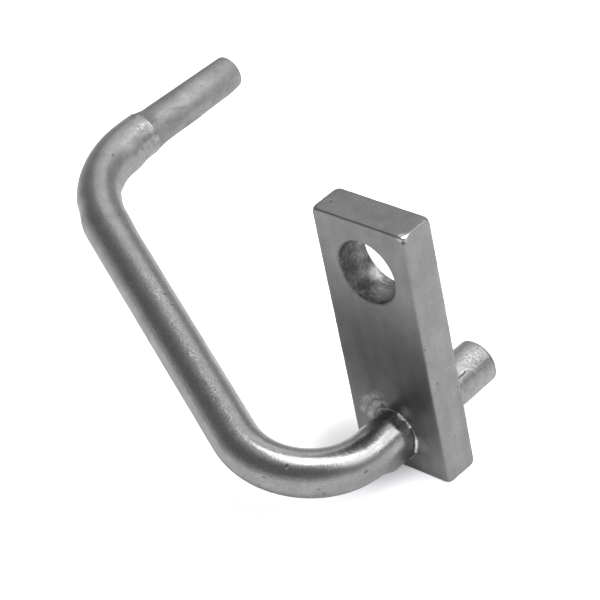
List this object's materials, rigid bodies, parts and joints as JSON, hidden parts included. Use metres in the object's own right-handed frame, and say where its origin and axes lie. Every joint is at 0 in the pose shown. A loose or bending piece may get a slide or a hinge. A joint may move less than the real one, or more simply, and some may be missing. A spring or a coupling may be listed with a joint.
{
  "type": "piston cooling nozzle",
  "caption": "Bent steel oil tube brazed through a flat bolt-on plate, with a plug-in spigot behind it and a drawn-down jet end that sprays oil under a piston.",
  "frame": {"origin": "on the tube's axis, in the plane of the plate's seat face", "axes": "+Y along the spigot, out of the seat face and into the engine block; +Z along the plate, from the tube to the bolt hole; the tube's leg reaches out along -X"},
  "size_m": [0.0907, 0.0715, 0.048],
  "materials": {
    "plate_steel": "drawn flat bar, dulled darker on the front by the brazing heat, edges worn",
    "tube_steel": "satin cold-drawn tube with fine pits",
    "braze_metal": "bright uneven braze with a dull flux stain"
  },
  "bodies": {
    "root": {"mounting_plate": "plate_steel", "oil_tube": "tube_steel", "braze_fillet": "braze_metal"}
  },
  "joints": []
}
